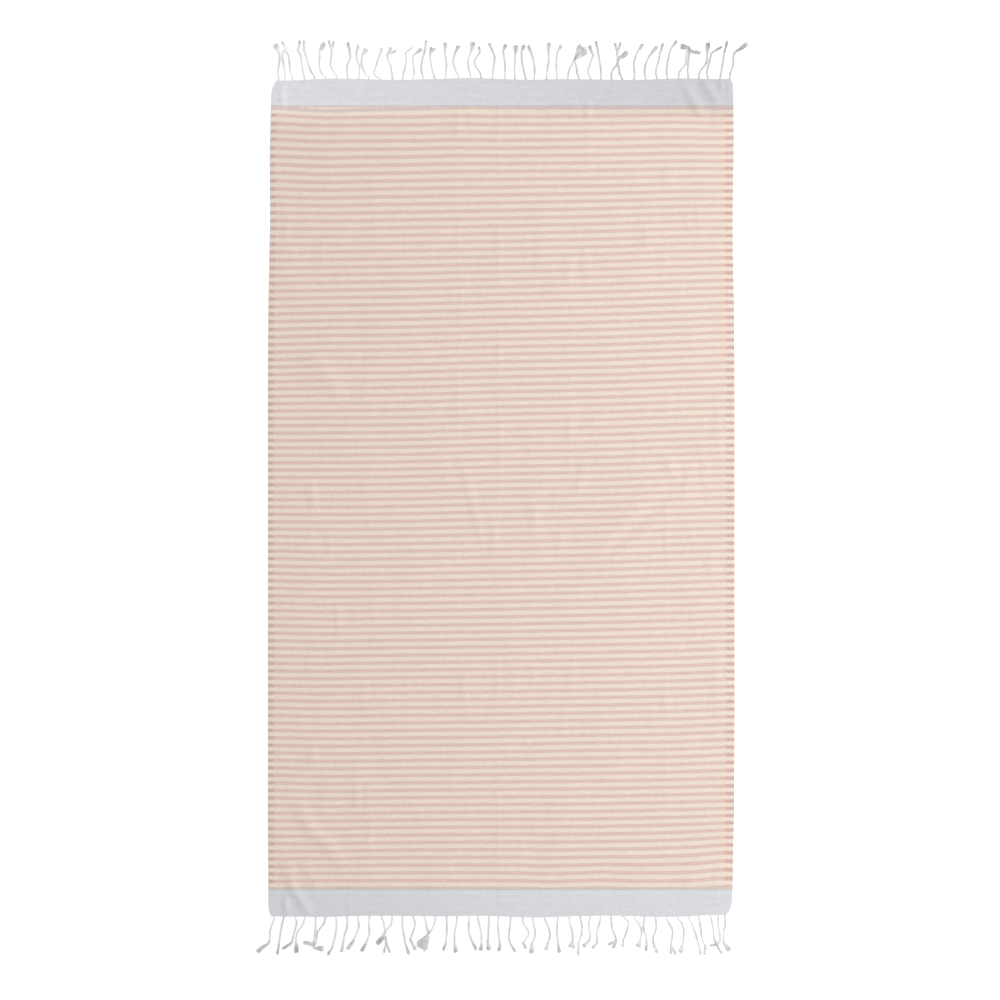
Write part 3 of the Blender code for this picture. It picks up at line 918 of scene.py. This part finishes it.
class Nodes:
    """Short names for building one node tree."""

    def __init__(self, tree):
        self.tree = tree

    def link(self, source, target):
        self.tree.links.new(source, target)

    def add(self, kind, inputs, **settings):
        """A new node. Each input, by name or number, is a plain value or the output of another node."""
        node = self.tree.nodes.new(kind)
        for name, value in settings.items():
            setattr(node, name, value)
        for name, value in inputs.items():
            if isinstance(value, bpy.types.NodeSocket):
                self.link(value, node.inputs[name])
            else:
                node.inputs[name].default_value = value
        return node

    def math(self, operation, *values):
        return self.add("ShaderNodeMath", dict(enumerate(values)), operation=operation).outputs[0]

    def product(self, first, *others):
        for other in others:
            first = self.math("MULTIPLY", first, other)
        return first

    def between(self, share, low, high):
        """low where the share is 0, high where it is 1, and in proportion between."""
        return self.math("MULTIPLY_ADD", share, high - low, low)

    def ramp_up(self, value, low, high):
        """0 below low, 1 above high and smooth between."""
        inputs = {"Value": value, "From Min": low, "From Max": high}
        return self.add("ShaderNodeMapRange", inputs, interpolation_type="SMOOTHSTEP").outputs[0]

    def past(self, value, edge, blur):
        """0 before an edge and 1 past it, smooth within the blur on both sides."""
        return self.ramp_up(value, edge - blur, edge + blur)

    def near(self, value, spot, core, reach):
        """1 within core of a spot, 0 beyond reach of it and smooth between."""
        away = self.math("ABSOLUTE", self.math("SUBTRACT", value, spot))
        return self.math("SUBTRACT", 1.0, self.ramp_up(away, core, reach))

    def mix(self, share, one, other):
        """One colour where the share is 0 and the other where it is 1."""
        return self.add("ShaderNodeMix", {0: share, 6: one, 7: other}, data_type="RGBA").outputs[2]

    def toned(self, colour, tone):
        """The colour made lighter or darker by a factor."""
        return self.add("ShaderNodeVectorMath", {0: colour, "Scale": tone}, operation="SCALE").outputs[0]

    def noise(self, place, scale, detail=2.0):
        inputs = {"Vector": place, "Scale": scale, "Detail": detail}
        return self.add("ShaderNodeTexNoise", inputs).outputs[0]

    def split(self, place):
        return self.add("ShaderNodeSeparateXYZ", {0: place}).outputs

    def joined(self, x, y):
        return self.add("ShaderNodeCombineXYZ", {0: x, 1: y}).outputs[0]

    def relief(self, height, strength, depth):
        """The normal of a surface with this fine relief."""
        inputs = {"Height": height, "Strength": strength, "Distance": depth}
        return self.add("ShaderNodeBump", inputs).outputs[0]


def new_group(name, inputs, outputs):
    """An empty shader node group, with the kind of socket for each input's and each output's name."""
    group = bpy.data.node_groups.new(name, "ShaderNodeTree")
    for direction, sockets in (("INPUT", inputs), ("OUTPUT", outputs)):
        for label, kind in sockets.items():
            group.interface.new_socket(label, in_out=direction, socket_type="NodeSocket" + kind)
    nodes = Nodes(group)
    return group, nodes, nodes.add("NodeGroupInput", {}).outputs, nodes.add("NodeGroupOutput", {}).inputs


def plain_weave_group():
    """Plain weave from a place on the flat cloth in metres. A crossing is one end wide and one pick high.

    Height is the relief of the crossings with the weft on top, between which the others lie low. Slub is how
    thick the pick is, which changes slowly along it.
    """
    outputs = {"Height": "Float", "Warp on top": "Float", "Slub": "Float"}
    group, n, given, out = new_group("plain weave", {"Place": "Vector"}, outputs)
    place = n.split(given["Place"])
    ends = n.math("DIVIDE", place[0], END_PITCH)
    picks = n.math("DIVIDE", place[1], PICK)
    pick_number = n.math("FLOOR", picks)
    crossing_number = n.math("ADD", n.math("FLOOR", ends), pick_number)
    warp_top = n.math("ABSOLUTE", n.math("MODULO", crossing_number, 2.0))
    arch_across = n.math("ABSOLUTE", n.math("SINE", n.math("MULTIPLY", ends, math.pi)))
    arch_along = n.math("ABSOLUTE", n.math("SINE", n.math("MULTIPLY", picks, math.pi)))
    crossing = n.math("MULTIPLY", arch_across, n.between(arch_along, 0.5, 1.0))
    weft_top = n.math("SUBTRACT", 1.0, warp_top)
    n.link(n.math("MULTIPLY", crossing, weft_top), out["Height"])
    n.link(warp_top, out["Warp on top"])
    along_pick = n.math("MULTIPLY", place[0], SLUBS_A_METRE)
    own_row = n.math("MULTIPLY", pick_number, SLUB_ROW_STEP)
    n.link(n.noise(n.joined(along_pick, own_row), 1.0, 1.0), out["Slub"])
    return group


def cotton_fibre_group():
    """Fine fibres and a soft uneven tone for any cotton yarn: a shade from 0 to 1 and a height."""
    inputs, outputs = {"Place": "Vector", "Fineness": "Float"}, {"Shade": "Float", "Height": "Float"}
    group, n, given, out = new_group("cotton fibre", inputs, outputs)
    fibres = n.noise(given["Place"], given["Fineness"], 3.0)
    n.link(n.ramp_up(fibres, low=0.3, high=0.7), out["Shade"])
    n.link(fibres, out["Height"])
    return group


def painted_end_light_group():
    """How light the cloth's ends are, from a place on the cloth as it lies: painted light and shade.

    Towards the right the upper end grows darker and the lower one lighter, as painted shade and painted
    light.
    """
    group, n, given, out = new_group("painted end light", {"Place": "Vector"}, {"Tone": "Float"})
    place = n.split(given["Place"])
    upper = n.ramp_up(place[1], BAND_EDGE - UPPER_PAINTED_SHADE_REACH, BAND_EDGE + END_PAINTED_LIGHT_BLUR)
    upper_end_painted_light = n.product(place[0], UPPER_PAINTED_SHADE_SLOPE, upper)
    lower = n.past(n.math("MULTIPLY", place[1], -1.0), BAND_EDGE, END_PAINTED_LIGHT_BLUR)
    lower_end_painted_light = n.product(n.ramp_up(place[0], *LOWER_PAINTED_LIGHT_SPAN), LOWER_PAINTED_LIGHT_RISE, lower)
    n.link(n.math("ADD", n.math("ADD", upper_end_painted_light, lower_end_painted_light), 1.0), out["Tone"])
    return group


def use_group(n, group, **values):
    """The outputs of a node group, with its inputs set or linked to these values."""
    return n.add("ShaderNodeGroup", values, node_tree=group).outputs


def new_material(name):
    """A dull material, its nodes and its shader's inputs."""
    material = bpy.data.materials.new(name)
    material.use_nodes = True
    shader = material.node_tree.nodes["Principled BSDF"].inputs
    shader["Roughness"].default_value = 0.92
    shader["Specular IOR Level"].default_value = 0.2
    return material, Nodes(material.node_tree), shader


# The yarns, as linear colours
WARP_GREY = (0.565, 0.570, 0.592, 1)
WEFT_GREY = (0.546, 0.538, 0.567, 1)
WEFT_CREAM = (0.720, 0.585, 0.466, 1)
WEFT_PINK = (0.602, 0.384, 0.297, 1)
SELVEDGE_PINK = (0.498, 0.266, 0.205, 1)
DULL_PINK = (0.530, 0.398, 0.338, 1)
BLUISH_LINE = (0.515, 0.565, 0.590, 1)
ROSE_LINE = (0.552, 0.530, 0.545, 1)
CORD_WHITE = (0.660, 0.665, 0.680, 1)
FLOOR_WHITE = (0.97, 0.97, 0.97, 1)

# The darkest and the lightest tone that each unevenness of the cotton gives, as factors
SLUB_TONES = (0.89, 1.11)
CLOTH_FIBRE_TONES = (0.97, 1.03)
MOTTLE_TONES = (0.93, 1.07)
# The seam line's darkest tone, partly stitch and partly painted shadow under the hem's edge
SEAM_SHADOW_TONE = 0.89
YARN_FIBRE_TONES = (0.89, 1.03)
STRAND_TONES = (0.87, 1.15)

# How much of the warp's colour a crossing has, with the weft and with the warp on top
WARP_SHARES = (0.05, 0.55)

# Painted light and shade across the two ends of the cloth, and how light the two fringes are at their middle
UPPER_PAINTED_SHADE_REACH = 45 * MM
END_PAINTED_LIGHT_BLUR = 5 * MM
UPPER_PAINTED_SHADE_SLOPE = -0.28
LOWER_PAINTED_LIGHT_SPAN = (-0.30, 0.02)
LOWER_PAINTED_LIGHT_RISE = 0.022
LOWER_FRINGE_TONE = 1.16
UPPER_FRINGE_TONE = 1.10

# How many swells of each noise lie in a metre, and how far apart two picks' slubs are in theirs
CLOTH_FIBRES = 900.0
YARN_FIBRES = 2600.0
MOTTLE = 150.0
STRAND_PATCHES = 38.0
SLUBS_A_METRE = 25.0
SLUB_ROW_STEP = 7.31


def flat_place(n):
    """The place on the flat cloth in metres, across and along it, from its UV map."""
    uv = n.split(n.add("ShaderNodeUVMap", {}, uv_map="UVMap").outputs[0])
    across = n.math("MULTIPLY", n.math("SUBTRACT", uv[0], 0.5), 2 * HALF_WIDTH)
    along = n.math("MULTIPLY", n.math("SUBTRACT", uv[1], 0.5), 2 * HALF_LENGTH)
    return across, along


def pink_stripes(n, place, pick_middle):
    """1 in a pink stripe and 0 in a cream one. The stripes wander a little along the cloth."""
    wander = n.between(n.noise(place, WANDER_SCALE), -STRIPE_WANDER, STRIPE_WANDER)
    from_first = n.math("ADD", n.math("SUBTRACT", pick_middle, FIRST_STRIPE), wander)
    stripes = n.math("DIVIDE", from_first, STRIPE_PITCH)
    off_middle = n.math("ABSOLUTE", n.math("SUBTRACT", n.math("FRACT", n.math("ADD", stripes, 0.5)), 0.5))
    return n.math("SUBTRACT", 1.0, n.past(off_middle, PINK_SHARE / 2, STRIPE_BLUR))


def pink_weft(n, across, pick_middle):
    """The pink yarn, which is redder at the selvedges and dull in the stripes beside the end bands."""
    at_left = n.past(n.math("MULTIPLY", across, -1.0), HALF_WIDTH - LEFT_SELVEDGE, SELVEDGE_BLUR)
    at_right = n.past(across, HALF_WIDTH - RIGHT_SELVEDGE, SELVEDGE_BLUR)
    pink = n.mix(n.math("MAXIMUM", at_left, at_right), WEFT_PINK, SELVEDGE_PINK)
    beside_band = n.ramp_up(n.math("ABSOLUTE", pick_middle), FIRST_STRIPE - DULL_DEPTH, FIRST_STRIPE)
    return n.mix(beside_band, pink, DULL_PINK)


def body_weft(n, place, across, along, from_middle):
    """The weft of the body: pink and cream stripes, and the hem line before the end band."""
    pick_number = n.math("FLOOR", n.math("DIVIDE", along, PICK))
    pick_middle = n.math("MULTIPLY", n.math("ADD", pick_number, 0.5), PICK)
    hem_line = n.math("MULTIPLY", n.past(from_middle, BAND_EDGE - HEM_DEPTH, HEM_BLUR), HEM_SHARE)
    is_pink = n.math("MAXIMUM", pink_stripes(n, place, pick_middle), hem_line)
    return n.mix(is_pink, WEFT_CREAM, pink_weft(n, across, pick_middle))


def band_weft(n, from_middle):
    """The weft of an end band: plain grey with a bluish and a rose line."""
    rose = n.near(from_middle, BAND_EDGE + ROSE_PAST, LINE_CORE, ROSE_REACH)
    bluish = n.near(from_middle, BAND_EDGE + BLUISH_PAST, LINE_CORE, BLUISH_REACH)
    return n.mix(bluish, n.mix(rose, WEFT_GREY, ROSE_LINE), BLUISH_LINE)


def band_tone(n, from_middle, in_band):
    """The dark seam where the end band begins, a stitch line with painted shadow under the hem's edge, and
    the faint lines in the band.
    """
    seam_and_shadow = n.between(n.near(from_middle, BAND_EDGE, SEAM_SHADOW_CORE, SEAM_SHADOW_REACH), 1.0, SEAM_SHADOW_TONE)
    wave = n.math("SINE", n.math("MULTIPLY", from_middle, 2 * math.pi / BAND_LINE_PITCH))
    lines = n.math("MULTIPLY_ADD", n.math("MULTIPLY", wave, in_band), BAND_LINE_TONE, 1.0)
    return n.math("MULTIPLY", lines, seam_and_shadow)


def towel_material(weave, fibre, painted_end_light):
    """Pink and cream stripes between plain grey-white bands, in plain weave, on the flat cloth's UV map."""
    material, n, shader = new_material("striped cotton")
    across, along = flat_place(n)
    place = n.joined(across, along)
    lying = n.add("ShaderNodeTexCoord", {}).outputs["Object"]
    from_middle = n.math("ABSOLUTE", n.math("SUBTRACT", n.split(lying)[1], END_CENTRE[1]))
    in_band = n.past(from_middle, BAND_EDGE, BAND_BLUR)
    yarns = use_group(n, weave, Place=place)
    fibres = use_group(n, fibre, Place=place, Fineness=CLOTH_FIBRES)

    weft = n.mix(in_band, body_weft(n, place, across, along, from_middle), band_weft(n, from_middle))
    colour = n.mix(n.between(yarns["Warp on top"], *WARP_SHARES), weft, WARP_GREY)
    tone = n.product(
        n.between(yarns["Slub"], *SLUB_TONES),
        n.between(fibres["Shade"], *CLOTH_FIBRE_TONES),
        n.between(n.noise(place, MOTTLE, 1.0), *MOTTLE_TONES),
        # Painted light and shade on the end bands: the upper end darker and the lower one lighter towards
        # the right
        use_group(n, painted_end_light, Place=lying)["Tone"],
        band_tone(n, from_middle, in_band),
    )
    n.link(n.toned(colour, tone), shader["Base Color"])
    height = n.math("MULTIPLY_ADD", fibres["Height"], 0.3, yarns["Height"])
    n.link(n.relief(height, strength=0.6, depth=0.25 * MM), shader["Normal"])
    shader["Sheen Weight"].default_value = 0.15
    shader["Sheen Roughness"].default_value = 0.6
    return material


def fringe_material(name, fibre, painted_shade_factor, upper_painted_light_slope, lower_painted_light_slope):
    """Grey-white cotton yarn. Its tone changes by its fringe's slope for each metre to the right, which is
    painted light and shade across the fringe, and a factor below 1 is painted shade between loose yarns.
    """
    material, n, shader = new_material(name)
    place = n.add("ShaderNodeTexCoord", {}).outputs["Object"]
    across, along, _ = n.split(place)
    fibres = use_group(n, fibre, Place=place, Fineness=YARN_FIBRES)
    patches = n.ramp_up(n.noise(place, STRAND_PATCHES, 1.0), low=0.34, high=0.66)
    is_upper = n.math("GREATER_THAN", along, 0.0)
    # Painted light and shade: the upper fringe grows darker and the lower one lighter towards the right
    painted_light_slope = n.between(is_upper, lower_painted_light_slope, upper_painted_light_slope)
    level = n.between(is_upper, LOWER_FRINGE_TONE, UPPER_FRINGE_TONE)
    tone = n.product(
        n.between(fibres["Shade"], *YARN_FIBRE_TONES),
        n.between(patches, *STRAND_TONES),
        n.math("MULTIPLY_ADD", across, painted_light_slope, level),
        # A factor below 1 is painted shade between the loose yarns
        painted_shade_factor,
    )
    n.link(n.toned(CORD_WHITE[:3], tone), shader["Base Color"])
    n.link(n.relief(fibres["Height"], strength=0.5, depth=0.15 * MM), shader["Normal"])
    shader["Sheen Weight"].default_value = 0.15
    return material


def make_floor():
    """The pale floor, just under the towel."""
    bpy.ops.object.select_all(action="DESELECT")
    bpy.ops.mesh.primitive_plane_add(size=FLOOR_SIZE, location=(0, 0, -FLOOR_SINK))
    floor = bpy.context.object
    floor.name = "pale_floor"
    bpy.ops.object.transform_apply()
    material, _, shader = new_material("pale floor")
    shader["Base Color"].default_value = FLOOR_WHITE
    shader["Specular IOR Level"].default_value = 0
    floor.data.materials.append(material)


def light_scene():
    """Even white light all round, and one large soft light from the upper right."""
    world = bpy.data.worlds.new("studio")
    bpy.context.scene.world = world
    world.use_nodes = True
    sky = world.node_tree.nodes["Background"].inputs
    sky["Color"].default_value = (1, 1, 1, 1)
    sky["Strength"].default_value = SKY_STRENGTH
    bpy.ops.object.light_add(type="AREA", location=KEY_PLACE)
    key = bpy.context.object
    key.name = "soft_key"
    key.data.shape = "DISK"
    key.data.size = KEY_SIZE
    key.data.energy = KEY_POWER
    key.rotation_euler = (-key.location).to_track_quat("-Z", "Y").to_euler()


def place_camera():
    """Straight above, with the towel's upper end up, framed as in the photograph."""
    height = VIEW_WIDTH * LENS / SENSOR
    bpy.ops.object.camera_add(location=(*VIEW_CENTRE, height), rotation=(0, 0, 0))
    camera = bpy.context.object
    camera.data.lens = LENS
    camera.data.sensor_width = SENSOR
    camera.data.clip_end = FAR_CLIP
    bpy.context.scene.camera = camera


def main():
    bpy.context.scene.view_settings.view_transform = "Standard"
    weave, fibre, painted_end_light = plain_weave_group(), cotton_fibre_group(), painted_end_light_group()
    cloth = make_cloth()
    cloth.data.materials.append(towel_material(weave, fibre, painted_end_light))
    # Both cottons carry painted light and shade across each fringe, and the loose yarns are the same cotton
    # painted darker for the shade between them
    fringes = make_fringes(
        fringe_material("twisted cotton", fibre, painted_shade_factor=1.0, upper_painted_light_slope=-0.40, lower_painted_light_slope=0.10),
        fringe_material("loose cotton with painted shade", fibre, painted_shade_factor=0.86, upper_painted_light_slope=-0.55, lower_painted_light_slope=0.30),
    )
    for piece in fringes:
        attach(piece, "root")
    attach(cloth, "root")
    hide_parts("cloth")
    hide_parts("fringe_upper")
    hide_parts("fringe_lower")
    make_floor()
    light_scene()
    place_camera()


main()
